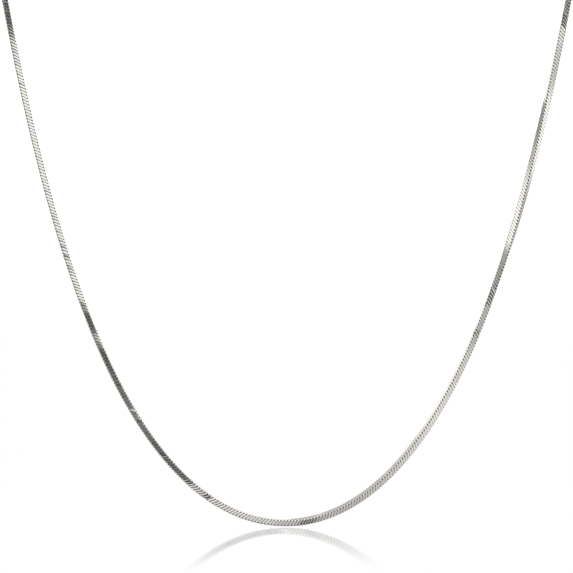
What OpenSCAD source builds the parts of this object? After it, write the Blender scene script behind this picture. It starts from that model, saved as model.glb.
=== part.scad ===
// A necklace: a fine square snake chain that hangs as one closed loop, joined by a barrel clasp.
// The loop lies in the XZ plane. It hangs by the clasp, whose underside is the origin.

/* [Loop] */
// Radius of the hanging curve at its lowest point, which sets the whole catenary
hang_radius = 24; // [20:1:28]
// Distance between the two strands where the catenary meets the round arch
strand_gap = 115; // [105:1:120]

/* [Chain] */
// Width of the square section across its flats
chain_w = 1.3; // [1:0.1:1.5]
// Width of the flat that takes the place of each sharp edge
edge_flat = 0.2; // [0.1:0.05:0.3]

/* [Clasp] */
// Length of the clasp from end to end
clasp_l = 11; // [9:0.5:14]
// Diameter of its barrel
barrel_d = 3.6; // [3.2:0.1:5]
// Diameter of the collar at each end
collar_d = 2.7; // [2.6:0.1:3]
// Length of each collar
collar_l = 1.6; // [1.2:0.1:2]
// Depth of the socket that holds the chain's end
socket_depth = 1.5; // [1:0.1:2]

/* [Hidden] */

// How the square section turns along the chain. A station is a distance in mm along the chain
// from its lowest point, towards +X. At 0 degrees one side faces -Y, and a positive turn leans
// that side towards the middle of the loop.
twists = [
    // station, degrees
    [-130, 0],
    [-118, 6],
    [-66, 5],
    [-60, 2],
    [-22, 1],
    [-20, -1],
    [-10, -3],
    [-2, -4],
    [2, -12],
    [6, -23.5],
    [10, -31],
    [12, -32],
    [32, -29],
    [44, -22],
    [52, -17],
    [56, -9],
    [62, -9],
    [65, -1],
    [75, 8],
    [79, 15],
    [88, 34],
    [97, 47],
    [105, 60],
    [109, 72],
    [115, 84],
    [122, 90]
];

// Ring spacing of the swept chain: fine round the tight bottom, coarse in the long strands
fine_step = 3;
coarse_step = 7.4;
fine_reach = 45;

straight_run = 0.5;    // straight length of chain outside each socket
socket_gap = 0.1;      // clearance round the chain's edges and at its end, in the socket
bevel = 0.3;           // on the ends of the barrel and of the collars
round_facets = 64;

// The hanging curve is a catenary, the round arch above it two arcs with a straight between them
strand_half = strand_gap / 2;
catenary_half = hang_radius * sinh(strand_half / hang_radius);
strand_rise = hang_radius * (cosh(strand_half / hang_radius) - 1);
lean = atan(hang_radius / catenary_half);    // of the strand from the vertical, at the arch
straight_half = clasp_l / 2 + straight_run;
arch_r = (strand_half - straight_half) / cos(lean);
arch_z = strand_rise + arch_r * sin(lean);   // centre of the arch above the lowest point
arch_half = arch_r * (90 + lean) * PI / 180;
straight_start = catenary_half + arch_half;
chain_half = straight_start + straight_run + socket_depth - socket_gap;
lowest_z = barrel_d / 2 - arch_z - arch_r;   // middle of the section at the lowest point
coarse_rings = round((chain_half - fine_reach) / coarse_step);
coarse_pitch = (chain_half - fine_reach) / coarse_rings;

function cosh(t) = (exp(t) + exp(-t)) / 2;
function sinh(t) = (exp(t) - exp(-t)) / 2;
function asinh(t) = ln(t + sqrt(t * t + 1));

// Place at station s of the loop's right half, as [x, z, heading]: z is above the lowest point
// and the heading is the chain's direction in degrees from +X
function right_place(s) =
    s <= catenary_half
        ? [hang_radius * asinh(s / hang_radius),
           sqrt(hang_radius * hang_radius + s * s) - hang_radius,
           atan(s / hang_radius)]
    : s <= straight_start
        ? let (around = (s - catenary_half) / arch_r * 180 / PI - lean)
          [straight_half + arch_r * cos(around), arch_z + arch_r * sin(around), 90 + around]
    : [straight_half + straight_start - s, arch_z + arch_r, 180];

// Place at any station: the left half is the right one mirrored
function place(s) =
    let (p = right_place(abs(s)))
    s < 0 ? [-p[0], p[1], -p[2]] : p;

// Corners of the square section with flattened edges, as [inward, sideways]: inward is towards
// the middle of the loop, sideways is +Y
half_w = chain_w / 2;
flat_half = half_w - edge_flat / sqrt(2);
section = [
    [half_w, -flat_half], [half_w, flat_half], [flat_half, half_w], [-flat_half, half_w],
    [-half_w, flat_half], [-half_w, -flat_half], [-flat_half, -half_w], [flat_half, -half_w]
];

// One ring of the sweep, at station s
function ring(s) =
    let (p = place(s), t = lookup(s, twists))
    [for (c = section)
        let (inward = c[0] * cos(t) - c[1] * sin(t), sideways = c[0] * sin(t) + c[1] * cos(t))
        [p[0] - inward * sin(p[2]), sideways, lowest_z + p[1] + inward * cos(p[2])]];

stations = [
    for (k = [coarse_rings : -1 : 1]) -fine_reach - k * coarse_pitch,
    for (s = [-fine_reach : fine_step : fine_reach]) s,
    for (k = [1 : coarse_rings]) fine_reach + k * coarse_pitch
];

// The snake chain, swept as one solid along the loop from socket to socket
module chain() {
    sides = len(section);
    rings = len(stations);
    points = [for (s = stations) each ring(s)];
    walls = [
        for (k = [0 : rings - 2])
            for (j = [0 : sides - 1])
                let (a = k * sides + j, b = k * sides + (j + 1) % sides)
                each [[a, b, b + sides], [a, b + sides, a + sides]]
    ];
    start_cap = [for (j = [sides - 1 : -1 : 0]) j];
    end_cap = [for (j = [0 : sides - 1]) (rings - 1) * sides + j];
    color("silver") polyhedron(points, [each walls, start_cap, end_cap]);
}

// A bar of diameter d and length l along Z, centred, with its end edges bevelled
module bevelled_bar(d, l) {
    r = d / 2;
    h = l / 2;
    rotate_extrude($fn = round_facets)
        polygon([[0, -h], [r - bevel, -h], [r, -h + bevel], [r, h - bevel], [r - bevel, h], [0, h]]);
}

// The barrel clasp along X, with a collar and a round socket at each end
module clasp() {
    socket_d = norm([half_w, flat_half]) * 2 + 2 * socket_gap;
    color("silver")
        translate([0, 0, barrel_d / 2])
            rotate([0, 90, 0])
                difference() {
                    union() {
                        bevelled_bar(collar_d, clasp_l);
                        bevelled_bar(barrel_d, clasp_l - 2 * collar_l);
                    }
                    for (side = [-1, 1])
                        translate([0, 0, side * clasp_l / 2])
                            cylinder(h = 2 * socket_depth, d = socket_d, center = true, $fn = round_facets);
                }
}

chain();
clasp();
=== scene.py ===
# %% [markdown]
# # A square snake chain, dressed in Blender
# The necklace is one fine chain of about 685 square links that hangs as a deep U and closes behind
# the neck in a barrel clasp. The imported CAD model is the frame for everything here: it fixes the
# loop's route, its width and the clasp. This script adds what the eye reads as a snake chain, which
# is the row of slanted bars on each of the four sides, and gives every surface a silver finish.

import bpy
import numpy as np
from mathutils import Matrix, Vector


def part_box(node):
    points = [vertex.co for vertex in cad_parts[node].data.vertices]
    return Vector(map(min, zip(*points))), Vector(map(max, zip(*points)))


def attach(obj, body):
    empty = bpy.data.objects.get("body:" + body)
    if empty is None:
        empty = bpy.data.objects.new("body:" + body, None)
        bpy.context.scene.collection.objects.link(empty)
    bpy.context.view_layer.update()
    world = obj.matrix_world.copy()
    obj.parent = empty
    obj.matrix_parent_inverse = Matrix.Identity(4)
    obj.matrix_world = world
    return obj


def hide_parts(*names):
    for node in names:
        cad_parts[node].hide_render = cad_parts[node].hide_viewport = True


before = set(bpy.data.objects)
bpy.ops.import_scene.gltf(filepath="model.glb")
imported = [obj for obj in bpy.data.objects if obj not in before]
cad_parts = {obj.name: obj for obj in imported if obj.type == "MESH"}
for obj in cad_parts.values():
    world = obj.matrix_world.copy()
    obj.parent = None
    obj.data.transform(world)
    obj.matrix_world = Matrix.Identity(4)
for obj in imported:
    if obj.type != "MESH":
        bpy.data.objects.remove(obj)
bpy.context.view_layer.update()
chain_low, chain_high = (np.array(corner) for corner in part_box("chain"))
clasp_low, clasp_high = (np.array(corner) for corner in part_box("clasp"))
print("nodes:", sorted(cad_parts))
print("chain box (m):", chain_low.round(5), chain_high.round(5))

# %% [markdown]
# ## The route of the loop
# A chain that hangs from two points takes the form of a catenary. The CAD part builds its lower part
# that way, closes it above with a round arch, and leaves a short straight where it enters the clasp.
# The links have to lie on exactly that line, so the same few driving sizes are repeated here in
# metres, and the clasp's own sizes are read from the frame. Working out the route as a function of
# the distance along the chain, called the station, lets thousands of points be placed at once.

# %% Driving sizes of the loop
mm = 0.001
hang_radius = 24 * mm
strand_gap = 115 * mm
straight_run = 0.5 * mm
socket_depth = 1.5 * mm
socket_gap = 0.1 * mm
clasp_length = clasp_high[0] - clasp_low[0]
barrel_radius = (clasp_high[2] - clasp_low[2]) / 2

strand_half = strand_gap / 2
catenary_half = hang_radius * np.sinh(strand_half / hang_radius)
strand_rise = hang_radius * (np.cosh(strand_half / hang_radius) - 1)
lean = np.arctan(hang_radius / catenary_half)
straight_half = clasp_length / 2 + straight_run
arch_radius = (strand_half - straight_half) / np.cos(lean)
arch_rise = strand_rise + arch_radius * np.sin(lean)
straight_start = catenary_half + arch_radius * (np.pi / 2 + lean)
chain_half = straight_start + straight_run + socket_depth - socket_gap
lowest_z = barrel_radius - arch_rise - arch_radius
print(f"chain of {2 * chain_half / mm:.1f} mm, lowest point at z = {lowest_z / mm:.2f} mm")


# %% The route as a function of the station
def loop_place(station):
    """Middle of the chain at each station, as x, z and heading.

    Up to the arch it is the catenary x = a asinh(s / a), z = sqrt(a a + s s) - a, with heading
    atan(s / a). The arch is a circle of radius arch_radius, and the last stretch runs straight back
    towards the clasp. The left half, where s is negative, is the right half mirrored.
    """
    along = np.abs(station)
    around = (along - catenary_half) / arch_radius - lean
    hanging, arching = along <= catenary_half, along <= straight_start
    x = np.select(
        [hanging, arching],
        [hang_radius * np.arcsinh(along / hang_radius), straight_half + arch_radius * np.cos(around)],
        straight_half + straight_start - along,
    )
    z = np.select(
        [hanging, arching],
        [np.hypot(hang_radius, along) - hang_radius, arch_rise + arch_radius * np.sin(around)],
        arch_rise + arch_radius,
    )
    heading = np.select([hanging, arching], [np.arctan(along / hang_radius), np.pi / 2 + around], np.pi)
    side = np.where(station < 0, -1.0, 1.0)
    return x * side, lowest_z + z, heading * side


ends = loop_place(np.array([-catenary_half, 0, catenary_half]))
print("strands (mm):", (ends[0] / mm).round(2), "at heights", (ends[1] / mm).round(2))

# %% [markdown]
# ## How the chain turns about its own line
# A square chain hardly ever hangs with one side square to the viewer. It turns slowly on its way, and
# since polished metal mirrors the room, each degree of turn shows as a lighter or darker stretch. The
# photograph tells the turn quite well: where the chain looks wider, two sides are seen at once, and
# where a stretch goes black, one side mirrors the dark gap at the camera. The table follows the CAD
# part's turn and is finer than that: a few links sit askew by some degrees, as in every chain that has
# been worn, and flash dark between light neighbours. Such a step is too short to matter in the solid.

# %% Turn table: station in mm, turn in degrees
turn_table = np.array([
    # over the left half of the arch and down the upper left strand
    (-130, 0), (-125, 1.5), (-121, 4), (-117, 5.5), (-111, 6), (-92, 6), (-87, 5.5), (-79, 5), (-65, 5),
    # the lower left strand, which stays near the dark gap
    (-62.5, 4), (-60.5, 2), (-58.5, 3), (-56.5, 4.2), (-54, 3), (-52.5, 2), (-46.5, 2.5), (-44.5, 3),
    (-38.5, 4), (-34.5, 3), (-24, 2.5), (-22, 1), (-21, 0.5), (-20.2, -1.2),
    # one link askew
    (-17.3, -1.2), (-17.1, 1), (-16.3, 1), (-16.1, -2.5),
    # round the bottom, where the second side comes into view
    (-10, -3), (-2, -4), (1, -7), (2, -12), (4, -19), (6, -23.5), (8, -27), (10, -31), (12, -32),
    # up the right strand, which slowly turns back
    (32, -29), (44, -22), (50.5, -18), (52.5, -17), (54.5, -14), (56.5, -9),
    # two links and then five links askew
    (57.3, -9), (57.4, 0.2), (58.4, 0.2), (58.5, -9), (63.7, -9), (63.8, 0.4), (67.2, 0.5), (67.3, 6),
    # the upper right strand, where the next side takes over
    (70.5, 6.2), (72.5, 6.5), (74.2, 8), (76, 14), (78, 19), (81, 25), (88, 35), (91, 39), (93, 43),
    (97, 47), (101, 53), (103, 58), (105, 59), (109, 72), (115, 84), (118.5, 88),
    # a little past the full quarter, and back to it over the right half of the arch
    (121.7, 88), (121.8, 91.5), (124.4, 91.5), (124.6, 95), (128, 95), (134, 90),
])


def turn_at(station):
    """Turn of the section at each station, in radians, read from the table along straight lines."""
    return np.radians(np.interp(station / mm, turn_table[:, 0], turn_table[:, 1]))


def loop_axes(station, extra_turn=0.0):
    """Middle point and the axes along, inward and sideways of the section at each station.

    Untwisted, inward points to the middle of the loop and sideways is +Y. A positive turn swings
    both about the chain's own line, so that the side that faces -Y leans inward.
    """
    x, z, heading = loop_place(station)
    turn = turn_at(station) + extra_turn
    nought = np.zeros_like(x)
    middle = np.stack([x, nought, z], -1)
    along = np.stack([np.cos(heading), nought, np.sin(heading)], -1)
    plain_inward = np.stack([-np.sin(heading), nought, np.cos(heading)], -1)
    plain_sideways = np.array([0.0, 1.0, 0.0])
    cos, sin = np.cos(turn)[:, None], np.sin(turn)[:, None]
    return middle, along, plain_inward * cos + plain_sideways * sin, plain_sideways * cos - plain_inward * sin


# %% [markdown]
# ## One bar of a link
# Each link of a square snake chain is a small square ring whose four sides are slanted bars. A bar
# crosses the rounded corners straight and leans in between, in a long S, so that it arrives a whole
# link further on, where it meets the bar of the next side. Neighbours almost touch in the middle of
# a side and draw apart towards the corners, which leaves one small dark hole in each corner for each
# link. Such a bar could be bevelled from a curve, but a small grid of points is easier to steer. It's
# worked out flat, as a strip with a crowned section, and its one end is then bent round the corner,
# so that quarter turns of one shape make the whole link. The crown matters most: it makes each bar
# mirror a few degrees of the room, which is why neighbours flash light and dark together.

# %% Sizes of a bar
chain_width = 1.3 * mm
link_pitch = 0.655 * mm
half_width = chain_width / 2
corner_radius = 0.15 * mm
corner_turn = 0.5 * np.pi * corner_radius
flat_half = half_width - corner_radius
curved_share = 0.4

# Crowned section: place across the bar as a share of its half width, and drop below the top. The
# nearly flat top ends at two crisp edges, with steep walls down to the groove outside them.
section_across = np.array([-1.0, -0.95, -0.79, 0.0, 0.79, 0.95, 1.0])
section_drop = np.array([0.18, 0.055, 0.011, 0.0, 0.011, 0.055, 0.18]) * mm
crisp_columns = (2, 4)

# Stops across the side, from the end that meets the next bar to the end round the corner, and half
# the bar's width along the chain at each of them
flat_stops = np.array([1.0, 0.84, 0.40, -0.40, -0.84, -1.0]) * flat_half
bend_stops = -flat_half - np.array([0.5, 1.0]) * corner_turn
side_stops = np.concatenate([flat_stops, bend_stops])
bar_gap = 0.01 * mm
touching = 0.5 * (link_pitch - bar_gap)
bar_reach = np.array([0.70, 0.94, 1.0, 1.0, 0.94, 0.70, 0.42, 0.70]) * touching
print("stops across the side (mm):", (side_stops / mm).round(3))
print("half width along the chain (mm):", (bar_reach / mm).round(3))


# %% The bar as a bent strip
def bent_bar():
    """Points of one bar as u along the chain, v across its side and w outward, and how deep each lies.

    With t = q / flat_half, held between -1 and 1, the middle of the strip at q across the side lies
    at u = pitch / 2 ((1 - k) t + k sin(pi t / 2)), where k is the curved share, and a point of the
    section lies up to the bar's reach to either side of it. Past -flat_half the strip follows the
    corner: with the angle b = (-flat_half - q) / r, v = -flat_half - r sin b and
    w = half_width - r (1 - cos b). The drop is taken off along the strip's own normal (-sin b, cos b).
    """
    q, place = np.meshgrid(side_stops, section_across, indexing="ij")
    t = np.clip(q / flat_half, -1, 1)
    middle = 0.5 * link_pitch * ((1 - curved_share) * t + curved_share * np.sin(0.5 * np.pi * t))
    u = middle + place * bar_reach[:, None]
    drop = np.broadcast_to(section_drop, q.shape)
    bend = np.maximum(-flat_half - q, 0) / corner_radius
    v = np.maximum(q, -flat_half) - (corner_radius - drop) * np.sin(bend)
    w = half_width - corner_radius * (1 - np.cos(bend)) - drop * np.cos(bend)
    hollow = drop / section_drop.max()
    return np.stack([u, v, w], -1).reshape(-1, 3), hollow.ravel()


def bar_faces(rows, columns):
    """Quads of a closed strip: a ring of columns points, repeated rows times, and a cap on each end.

    The quad of row i and column j has the corners (i, j), (i, j + 1), (i + 1, j + 1) and (i + 1, j).
    """
    i, j = np.meshgrid(np.arange(rows - 1), np.arange(columns), indexing="ij")
    next_j = (j + 1) % columns
    this_row, next_row = i * columns, (i + 1) * columns
    quads = np.stack([this_row + j, this_row + next_j, next_row + next_j, next_row + j], -1)
    soft = j != columns - 1
    caps = np.stack([np.arange(columns)[::-1], (rows - 1) * columns + np.arange(columns)])
    return quads.reshape(-1, 4), soft.ravel(), caps


bar_points, bar_hollow = bent_bar()
bar_quads, bar_soft, bar_caps = bar_faces(len(side_stops), len(section_across))
print("one bar:", len(bar_points), "points and", len(bar_quads) + len(bar_caps), "faces")


# %% [markdown]
# ## From arrays to a mesh
# Every new piece goes into Blender the same way. The points, the corners of all faces and the face
# lengths are flat arrays, which foreach_set copies in one step. That is far faster than adding faces
# one by one, and it keeps the shape itself in plain numpy, where it's easy to read.

# %% Put arrays into a mesh
def mesh_piece(name, points, face_corners, face_lengths, soft_faces, marks, crisp=None):
    """A new object from arrays: corners of all faces in one row, and how many of them each face has.

    marks holds named numbers for the points. crisp tells from the two ends of every edge, as arrays,
    which edges stay sharp between soft faces.
    """
    first_corners = np.concatenate([[0], np.cumsum(face_lengths)[:-1]])
    mesh = bpy.data.meshes.new(name)
    mesh.vertices.add(len(points))
    mesh.vertices.foreach_set("co", points.astype(np.float32).ravel())
    mesh.loops.add(len(face_corners))
    mesh.loops.foreach_set("vertex_index", face_corners.astype(np.int32))
    mesh.polygons.add(len(face_lengths))
    mesh.polygons.foreach_set("loop_start", first_corners.astype(np.int32))
    mesh.polygons.foreach_set("use_smooth", soft_faces)
    for mark, values in marks.items():
        layer = mesh.attributes.new(mark, "FLOAT", "POINT")
        layer.data.foreach_set("value", values.astype(np.float32))
    mesh.update(calc_edges=True)
    if crisp:
        ends = np.empty(2 * len(mesh.edges), np.int32)
        mesh.edges.foreach_get("vertices", ends)
        layer = mesh.attributes.new("sharp_edge", "BOOLEAN", "EDGE")
        layer.data.foreach_set("value", crisp(ends[0::2], ends[1::2]))
    mesh.validate()
    piece = bpy.data.objects.new(name, mesh)
    bpy.context.scene.collection.objects.link(piece)
    triangles = int((np.asarray(face_lengths) - 2).sum())
    print(f"{name}: {len(points)} points, {len(face_lengths)} faces, {triangles} triangles")
    return piece


# %% [markdown]
# ## All the links
# A real chain's links are stamped alike and only differ in how they sit: each is turned and tipped a
# little against its neighbours, which makes the reflections flicker from bar to bar. So one bar is
# repeated as whole arrays, once for each link and each of its four sides, and every link gets its own
# small seeded wobble. The left and the right half of the loop become one piece each.

# %% Place every bar
wobble_spread = np.radians(0.3)
tip_spread = np.radians(0.25)

link_count = int(round(2 * chain_half / link_pitch))
reach = chain_half - link_pitch
link_stations = np.linspace(-reach, reach, link_count)
shake = np.random.default_rng(5)
link_wobble = shake.normal(0, wobble_spread, link_count)
link_tip = shake.normal(0, tip_spread, link_count)
print(link_count, "links, turned by up to", np.degrees(abs(link_wobble).max()).round(2), "degrees")


def placed_bars(chosen):
    """Points of the chosen links' bars: link by side by point.

    A bar's point (v, w) on side 0, which faces -Y, has the section place (v, -w) as (inward,
    sideways), and each further side turns that place by a quarter: (a, b) becomes (-b, a).
    """
    middle, along, inward, sideways = loop_axes(link_stations[chosen], link_wobble[chosen])
    u, v, w = bar_points.T
    a, b = v, -w
    sides = []
    for _ in range(4):
        sides.append(np.stack([u, a, b], -1))
        a, b = -b, a
    local = np.stack(sides)[None]
    tip = link_tip[chosen][:, None, None]
    tipped_along = local[..., 0] - tip * local[..., 2]
    tipped_side = local[..., 2] + tip * local[..., 0]
    return (
        middle[:, None, None, :]
        + tipped_along[..., None] * along[:, None, None, :]
        + np.broadcast_to(local[..., 1], tipped_side.shape)[..., None] * inward[:, None, None, :]
        + tipped_side[..., None] * sideways[:, None, None, :]
    )


def repeated_faces(count):
    """Face corners, face lengths and soft faces of count bars.

    The points of bar number n come after those of the bars before it, so its corners are the first
    bar's corners plus n times the number of points in a bar.
    """
    step = np.arange(count)[:, None] * len(bar_points)
    corners = np.concatenate([bar_quads.ravel(), bar_caps.ravel()])
    lengths = np.concatenate([np.full(len(bar_quads), 4), np.full(len(bar_caps), len(section_across))])
    soft = np.concatenate([bar_soft, np.zeros(len(bar_caps), bool)])
    return (step + corners).ravel(), np.tile(lengths, count), np.tile(soft, count)


def along_crisp_column(first, second):
    """True for an edge that runs along the bar on one of the two crisp borders of its flat top."""
    columns = len(section_across)
    return (first % columns == second % columns) & np.isin(first % columns, crisp_columns)


def link_piece(name, chosen):
    """One piece of the scene that holds the chosen links and takes the place of the chain's solid."""
    points = placed_bars(chosen).reshape(-1, 3)
    count = 4 * int(chosen.sum())
    marks = {"hollow": np.tile(bar_hollow, count)}
    piece = mesh_piece(name, points, *repeated_faces(count), marks, along_crisp_column)
    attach(piece, "root")
    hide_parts("chain")
    return piece


left_links = link_piece("left_links", link_stations < 0)
right_links = link_piece("right_links", link_stations >= 0)

# %% [markdown]
# ## The collars inside
# Under its bars each link has a narrower square collar that slides in the link before it. Only slivers
# of it show, dull and painted dark as shade, at the bottom of the notches. It's made as one tube that
# runs the whole length and steps in and out once a link, which closes every view through the chain.

# %% A stepped tube along the route
collar_half = 0.42 * mm
collar_chamfer = 0.12 * mm
collar_step = 0.03 * mm


def collar_tube():
    """A square with cut corners carried along the route, wide and narrow in turn within each link."""
    rings = np.repeat(link_stations, 2)
    rings[1::2] += 0.5 * link_pitch
    half = collar_half - collar_step * (np.arange(len(rings)) % 2)
    short = half - collar_chamfer
    quarter = np.stack([np.stack([half, -short], -1), np.stack([half, short], -1)], 1)
    turned = [quarter]
    for _ in range(3):
        last = turned[-1]
        turned.append(np.stack([-last[..., 1], last[..., 0]], -1))
    section = np.concatenate(turned, 1)
    middle, _, inward, sideways = loop_axes(rings)
    points = middle[:, None] + section[..., :1] * inward[:, None] + section[..., 1:] * sideways[:, None]
    count, columns = section.shape[:2]
    quads, _, caps = bar_faces(count, columns)
    face_corners = np.concatenate([quads[:, ::-1].ravel(), caps[:, ::-1].ravel()])
    face_lengths = np.concatenate([np.full(len(quads), 4), np.full(2, columns)])
    return points.reshape(-1, 3), face_corners, face_lengths


tube_points, tube_corners, tube_lengths = collar_tube()
link_collars = mesh_piece(
    "link_collars", tube_points, tube_corners, tube_lengths, np.zeros(len(tube_lengths), bool), {}
)
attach(link_collars, "root")
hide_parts("chain")


# %% [markdown]
# ## A small language for finishes
# A finish is a graph of nodes, and long lists of links hide what it does. Three helpers keep it
# readable. Signal wraps one output, so that arithmetic on it adds the Math nodes, math_node makes
# the other Math nodes, such as a sine, and Bench makes any node from its type, its settings and what
# goes into its sockets.

# %% Signals and the bench
class Signal:
    """One output of a node. Arithmetic with numbers or other signals adds Math nodes."""

    def __init__(self, socket):
        self.socket = socket

    def __add__(self, other):
        return math_node("ADD", self, other)

    def __radd__(self, other):
        return math_node("ADD", other, self)

    def __sub__(self, other):
        return math_node("SUBTRACT", self, other)

    def __rsub__(self, other):
        return math_node("SUBTRACT", other, self)

    def __mul__(self, other):
        return math_node("MULTIPLY", self, other)

    def __rmul__(self, other):
        return math_node("MULTIPLY", other, self)

    def __neg__(self):
        return math_node("MULTIPLY", self, -1.0)

    def __abs__(self):
        return math_node("ABSOLUTE", self)


def math_node(operation, *terms):
    """A Math node with this operation and these terms, in the tree that the terms belong to."""
    tree = next(term.socket.id_data for term in terms if isinstance(term, Signal))
    return Bench(tree).make("ShaderNodeMath", {"operation": operation}, dict(enumerate(terms)))


class Bench:
    """A node tree that a finish is built in."""

    def __init__(self, tree):
        self.tree = tree

    def make(self, kind, settings, values, out=0):
        """A node of this type with its settings, then the values or links of its sockets.

        Gives the output named by out, or nothing for a node that has none.
        """
        node = self.tree.nodes.new(kind)
        for name, setting in settings.items():
            setattr(node, name, setting)
        for name, value in values.items():
            if isinstance(value, Signal):
                self.tree.links.new(value.socket, node.inputs[name])
            else:
                node.inputs[name].default_value = value
        return Signal(node.outputs[out]) if len(node.outputs) else None

    def step(self, value, low, high):
        """0 below low, 1 above high, and a soft S between them."""
        settings = {"interpolation_type": "SMOOTHSTEP"}
        return self.make("ShaderNodeMapRange", settings, {"Value": value, "From Min": low, "From Max": high})

    def band(self, value, rise, fall):
        """0 before the rise, 1 between the rise and the fall, and 0 again after the fall."""
        return self.step(value, *rise) * (1 - self.step(value, *fall))

    def blend(self, share, first, second):
        """The first colour where the share is 0 and the second where it's 1."""
        node_values = {0: share, 6: first, 7: second}
        return self.make("ShaderNodeMix", {"data_type": "RGBA"}, node_values, out=2)

    def place(self):
        """The place on the piece, in metres."""
        return self.make("ShaderNodeTexCoord", {}, {}, out="Object")

    def parts(self, vector):
        """The x, y and z of a vector as three signals."""
        x = self.make("ShaderNodeSeparateXYZ", {}, {"Vector": vector})
        return [Signal(socket) for socket in x.socket.node.outputs]

    def flat_distance(self, place, centre):
        """The distance of the place from the centre, seen from above."""
        flat = self.make("ShaderNodeVectorMath", {"operation": "MULTIPLY"}, {0: place, 1: (1.0, 1.0, 0.0)})
        return self.make("ShaderNodeVectorMath", {"operation": "DISTANCE"}, {0: flat, 1: centre}, out="Value")

    def noise(self, place, scale):
        """Cloudy noise between 0 and 1, with this many clouds to a metre."""
        return self.make("ShaderNodeTexNoise", {}, {"Vector": place, "Scale": scale, "Detail": 2.0})

    def bump(self, height, strength, depth):
        """A normal that leans as if the surface rose and fell with the height, by up to this depth."""
        node_values = {"Height": height, "Strength": strength, "Distance": depth}
        return self.make("ShaderNodeBump", {}, node_values, out="Normal")


def new_finish(name):
    """An empty material and its bench."""
    material = bpy.data.materials.new(name)
    material.use_nodes = True
    material.node_tree.nodes.clear()
    return material, Bench(material.node_tree)


def metal(bench, **values):
    """Ends the finish in a fully metallic Principled surface with these socket values."""
    sockets = {"Metallic": 1.0}
    sockets.update({name.replace("_", " "): value for name, value in values.items()})
    surface = bench.make("ShaderNodeBsdfPrincipled", {}, sockets)
    bench.make("ShaderNodeOutputMaterial", {}, {"Surface": surface})


# %% [markdown]
# ## Polished silver on the bars
# The bars are rolled, stamped and tumbled, then plated bright. They mirror the room sharply on top,
# with a faint haze that varies from place to place, and stay a little duller down in the grooves,
# where polishing can't reach. The grooves are also darker in colour, partly from the tarnish that
# gathers there first and partly as painted shade for the dark gaps between the bars. The mark called
# hollow, which was stored with the points, carries that depth, and object-space noise breaks up the rest.

# %% Bright silver
silver_tone = (0.93, 0.903, 0.863, 1.0)
# The groove's tone is partly tarnish and partly painted shade for the dark gaps between the bars.
groove_shade_and_tarnish = (0.10, 0.092, 0.083, 1.0)
groove_edges = (0.08, 0.65)
haze_clouds = 900.0
scuff_clouds = 6000.0
scuff_strength, scuff_depth = 0.05, 0.02 * mm
top_roughness, haze_roughness, groove_roughness = 0.02, 0.06, 0.25


def bright_silver():
    """Mirror-bright silver, hazier in the grooves and darker there, by tarnish and by painted shade."""
    material, bench = new_finish("bright_silver")
    place = bench.place()
    hollow = bench.make("ShaderNodeAttribute", {"attribute_name": "hollow"}, {}, out="Fac")
    haze = bench.noise(place, haze_clouds)
    scuffs = bench.noise(place, scuff_clouds)
    depth = bench.step(hollow, *groove_edges)
    # Painted shade and tarnish: the base colour darkens with the groove's depth.
    tone = bench.blend(depth, silver_tone, groove_shade_and_tarnish)
    roughness = top_roughness + haze_roughness * haze + groove_roughness * depth
    bump = bench.bump(scuffs, scuff_strength, scuff_depth)
    metal(bench, Base_Color=tone, Roughness=roughness, Normal=bump)
    return material


# %% Dull silver inside, with painted shade
# Both tones are painted shade for the dark deep inside the chain, with some tarnish in them.
dark_shade_and_tarnish = (0.02, 0.018, 0.016, 1.0)
light_shade_and_tarnish = (0.06, 0.055, 0.05, 1.0)
tarnish_clouds = 1500.0
inner_roughness, patch_roughness = 0.35, 0.2


def shade_painted_silver():
    """The unpolished inside of the links, painted near black as shade deep in the chain, with soft patches
    like tarnish.
    """
    material, bench = new_finish("shade_painted_silver")
    patches = bench.noise(bench.place(), tarnish_clouds)
    # Painted shade: near-black tones, varied in soft patches.
    tone = bench.blend(patches, dark_shade_and_tarnish, light_shade_and_tarnish)
    metal(bench, Base_Color=tone, Roughness=inner_roughness + patch_roughness * patches)
    return material


bar_finish = bright_silver()
left_links.data.materials.append(bar_finish)
right_links.data.materials.append(bar_finish)
link_collars.data.materials.append(shade_painted_silver())

# %% [markdown]
# ## The turned clasp
# The photograph doesn't show the clasp, so it stays the plain barrel of the CAD part. A barrel clasp
# is turned on a small lathe, which leaves very fine rings round its axis even after polishing. The
# rings are worked out from the distance along the axis, in Object coordinates, and only bend the
# light. A faint haze and a warmer tone near the collars are where fingers touch it.

# %% Turned silver
ring_pitch = 0.12 * mm
touch_clouds = 500.0
worn_tone = (0.86, 0.83, 0.78, 1.0)
worn_edges = (0.25 * clasp_length, 0.5 * clasp_length)
ring_strength, ring_depth = 0.15, 0.004 * mm
barrel_roughness, touch_roughness = 0.10, 0.12


def turned_silver():
    """Polished silver with fine lathe rings round the X axis: a sine of 2 pi x / ring_pitch."""
    material, bench = new_finish("turned_silver")
    place = bench.place()
    along = bench.parts(place)[0]
    rings = math_node("SINE", along * (2 * np.pi / ring_pitch))
    haze = bench.noise(place, touch_clouds)
    worn = bench.step(abs(along), *worn_edges)
    tone = bench.blend(worn * haze, silver_tone, worn_tone)
    bump = bench.bump(rings + haze, ring_strength, ring_depth)
    metal(bench, Base_Color=tone, Roughness=barrel_roughness + touch_roughness * haze, Normal=bump)
    return material


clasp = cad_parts["clasp"]
clasp.data.materials.clear()
clasp.data.materials.append(turned_silver())

# %% [markdown]
# ## The studio
# Polished silver shows nothing but its surroundings, so the studio is the real paint of this scene.
# Lamps and cards could stand round the necklace, but a tent is simpler: one world shader that gives
# each direction its tone. It's white all round and above, and grows grey towards the table below. At
# the camera's side it has an upright gap with the dark lens in it, a grey apron hangs under the gap,
# and a tripod's foot shows below on the right. A grey card leans on each side of the gap, and two
# darker corners stand behind the necklace. Only mirror rays see those tones. The camera and the floor
# see plain white, which is how a product photograph ends up on clean white paper.

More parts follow.
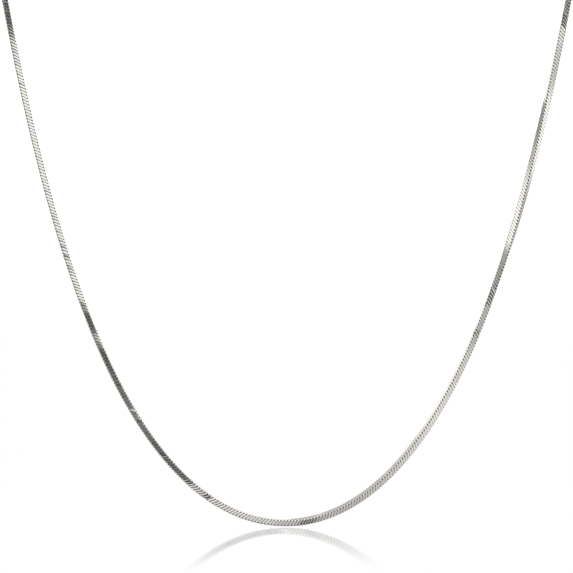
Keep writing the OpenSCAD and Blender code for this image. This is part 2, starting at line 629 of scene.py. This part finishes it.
# %% The tent as a whole
tent_white = 1.05
paper_light = 1.25
pure_white = (1.0, 1.0, 1.0, 1.0)
in_degrees = 180 / np.pi

# How much darker the table is than the tent, and how much darker still in front of the camera
table_depth, front_depth = 0.5, 0.25
table_edge = (-55.0, -8.0)
front_edge = (5.0, 30.0)


def table_share(bench, azimuth, elevation):
    """Share of the light that comes from a direction, for the grey table below."""
    table = 1 - bench.step(elevation, *table_edge)
    front = 1 - bench.step(abs(azimuth), *front_edge)
    return 1 - table * (table_depth + front_depth * front)


# %% The camera's side: edges in degrees, each as a first and a last value, and depths
gap_across = ((-4.8, -4.2), (4.2, 5.0))
gap_upward = ((-6.5, -5.0), (11.0, 13.0))
lens_across = ((-3.0, -2.0), (1.8, 2.8))
rim_across = (gap_across[0], (4.0, 5.0))
shade_across = (gap_across[0], (0.5, 8.0))
gap_depth, lens_depth, rim_depth, shade_depth = 0.72, 0.4, 0.15, 0.45

apron_upward = ((-42.0, -15.0), (-12.5, -6.0))
apron_sides = (8.0, 16.0)
foot_across = ((6.5, 7.5), (13.0, 14.0))
foot_upward = ((-57.0, -54.0), (-37.0, -34.0))
apron_depth, foot_depth = 0.44, 0.9


def camera_share(bench, azimuth, elevation):
    """Share of the light for the gap and what is in and under it: the product of 1 - each depth.

    The gap is darker towards its left, and a thin rim of it stays dark up to its right edge.
    """
    level = bench.band(elevation, *gap_upward)
    gap = gap_depth * bench.band(azimuth, *gap_across)
    lens = lens_depth * bench.band(azimuth, *lens_across)
    shade = rim_depth * bench.band(azimuth, *rim_across) + shade_depth * bench.band(azimuth, *shade_across)
    apron = apron_depth * bench.band(elevation, *apron_upward) * (1 - bench.step(abs(azimuth), *apron_sides))
    foot = foot_depth * bench.band(azimuth, *foot_across) * bench.band(elevation, *foot_upward)
    return (1 - gap * level) * (1 - lens * level) * (1 - shade * level) * (1 - apron) * (1 - foot)


# %% The cards on both sides of the gap
left_across = ((2.0, 5.0), (12.0, 38.0))
left_top = (10.0, 18.0)
right_across = ((4.0, 8.0), (16.0, 62.0))
right_upward = ((-34.0, -18.0), (15.0, 25.0))
right_bend = (-1.0, 4.0)
right_near = (7.0, 11.0)
left_depth, right_depth, bend_share = 0.62, 0.52, 0.5


def card_share(bench, azimuth, elevation):
    """Share of the light for the two cards. The right one is bent, and lighter above its bend."""
    level = bench.band(elevation, *gap_upward)
    left = left_depth * bench.band(-azimuth, *left_across) * (1 - bench.step(elevation, *left_top))
    right = right_depth * bench.band(azimuth, *right_across) * bench.band(elevation, *right_upward)
    above_bend = bench.step(elevation, *right_bend) * (1 - bend_share * bench.step(azimuth, *right_near))
    return (1 - left * level) * (1 - right * (1 - above_bend))


# %% The corners and the wall behind the necklace
right_corner = ((95.0, 120.0), (145.0, 165.0))
left_corner = ((55.0, 105.0), (140.0, 176.0))
left_fold = (120.0, 131.0)
fold_top = (30.0, 44.0)
left_fade = (15.0, 34.0)
left_end = (60.0, 75.0)
wall_edge = (150.0, 165.0)
wall_upward = ((18.0, 24.0), (48.0, 58.0))
right_corner_depth, left_corner_depth, fade_share, wall_depth = 0.55, 0.74, 0.3, 0.5


def back_share(bench, azimuth, elevation):
    """Share of the light for what stands behind: a corner on each side and a grey strip of the wall.

    The left corner ends at its fold below and goes on past it above, and fades upward.
    """
    right = right_corner_depth * bench.band(azimuth, *right_corner)
    folded = bench.step(-azimuth, *left_fold) * (1 - bench.step(elevation, *fold_top))
    faded = (1 - fade_share * bench.step(elevation, *left_fade)) * (1 - bench.step(elevation, *left_end))
    left = left_corner_depth * bench.band(-azimuth, *left_corner) * (1 - folded) * faded
    wall = wall_depth * bench.step(abs(azimuth), *wall_edge) * bench.band(elevation, *wall_upward)
    return (1 - right) * (1 - left) * (1 - wall)


# %% Put the tent up
def tent_light(bench):
    """Brightness of the tent by direction: azimuth 0 is the camera's side and 90 is +X, in degrees.

    azimuth = atan2(x, -y) and elevation = asin z of the direction, and the light is the tent's white
    times the shares of its parts.
    """
    x, y, z = bench.parts(bench.make("ShaderNodeTexCoord", {}, {}, out="Generated"))
    azimuth = math_node("ARCTAN2", x, -y) * in_degrees
    elevation = math_node("ARCSINE", z) * in_degrees
    light = tent_white
    for share in (table_share, camera_share, card_share, back_share):
        light = light * share(bench, azimuth, elevation)
    return light


def white_tent():
    """The world: the tent's tones for mirror rays, and plain white for the camera and the floor."""
    world = bpy.data.worlds.new("white_tent")
    bpy.context.scene.world = world
    world.use_nodes = True
    world.node_tree.nodes.clear()
    bench = Bench(world.node_tree)
    mirrored = bench.make("ShaderNodeLightPath", {}, {}, out="Is Glossy Ray")
    plain = bench.make("ShaderNodeBackground", {}, {"Color": pure_white, "Strength": paper_light})
    seen = bench.make("ShaderNodeBackground", {}, {"Color": pure_white, "Strength": tent_light(bench)})
    both = bench.make("ShaderNodeMixShader", {}, {0: mirrored, 1: plain, 2: seen})
    bench.make("ShaderNodeOutputWorld", {}, {"Surface": both})
    print("white_tent:", len(world.node_tree.nodes), "nodes")


white_tent()
bpy.context.scene.view_settings.view_transform = "Standard"

# %% [markdown]
# ## The floor
# The chain hangs just clear of a pale sheet, and the sheet mirrors its lowest part faintly. A white
# diffuse floor would also catch a grey shadow, which a sheet of milky acrylic that is lit from below
# doesn't. So it's an even glow under a polished skin, mixed by a fixed share. The polish is kept to a
# round patch under the necklace, since a mirror that ran to the horizon would end in a grey edge. The
# floor is part of the stage and not of the necklace, and the metal doesn't see it, because the tent
# already holds the table's tone.

# %% A lit sheet with a polished patch
floor_gap = 0.12 * mm
floor_half = 3.0
floor_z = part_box("chain")[0][2] - floor_gap
mirror_share = 0.42
skin_roughness = 0.05
patch_centre = (-20 * mm, 0.0, 0.0)
patch_edge = (40 * mm, 110 * mm)


def lit_acrylic():
    """An even white glow under a skin whose mirror share falls to nothing at the patch's edge."""
    material, bench = new_finish("lit_acrylic")
    glow = bench.make("ShaderNodeEmission", {}, {"Color": pure_white, "Strength": 1.0})
    skin = bench.make("ShaderNodeBsdfGlossy", {}, {"Color": pure_white, "Roughness": skin_roughness})
    away = bench.flat_distance(bench.place(), patch_centre)
    mirrored = (1 - bench.step(away, *patch_edge)) * mirror_share
    both = bench.make("ShaderNodeMixShader", {}, {0: mirrored, 1: glow, 2: skin})
    bench.make("ShaderNodeOutputMaterial", {}, {"Surface": both})
    return material


floor_corners = np.array([(-1, -1), (1, -1), (1, 1), (-1, 1)]) * floor_half
floor_points = np.column_stack([floor_corners, np.full(4, floor_z)])
floor = mesh_piece("floor", floor_points, np.arange(4), np.array([4]), np.array([False]), {})
floor.data.materials.append(lit_acrylic())
floor.visible_glossy = False

# %% [markdown]
# ## The camera
# The photograph looks straight at the loop through a long lens, level with the middle of the picture.
# A pixel is worth 0.2019 mm at the chain, which comes from the chain's width, and the lowest point of
# the chain lies at a known pixel. Together they fix where the camera stands, with no shift at all. A
# quarter of a degree of roll brings both strands to where the photograph has them.

# %% Stand the camera where the photograph was taken
photo_side = 573
pixel = 0.2019 * mm
lowest_x_px, lowest_y_px = 285.31, 522.76
camera_roll = np.radians(0.25)
lens_mm, sensor_mm = 200.0, 36.0
nearest, farthest = 0.01, 20.0

view_width = photo_side * pixel
distance = view_width * lens_mm / sensor_mm
camera_data = bpy.data.cameras.new("photo_camera")
camera_data.lens = lens_mm
camera_data.sensor_width = sensor_mm
camera_data.clip_start = nearest
camera_data.clip_end = farthest
camera = bpy.data.objects.new("photo_camera", camera_data)
bpy.context.scene.collection.objects.link(camera)
camera.location = (
    (photo_side / 2 - lowest_x_px) * pixel,
    -distance,
    lowest_z + (lowest_y_px - photo_side / 2) * pixel,
)
camera.rotation_euler = (np.pi / 2, -camera_roll, 0.0)
bpy.context.scene.camera = camera
print(f"the picture is {view_width / mm:.1f} mm wide, seen from {distance:.3f} m")
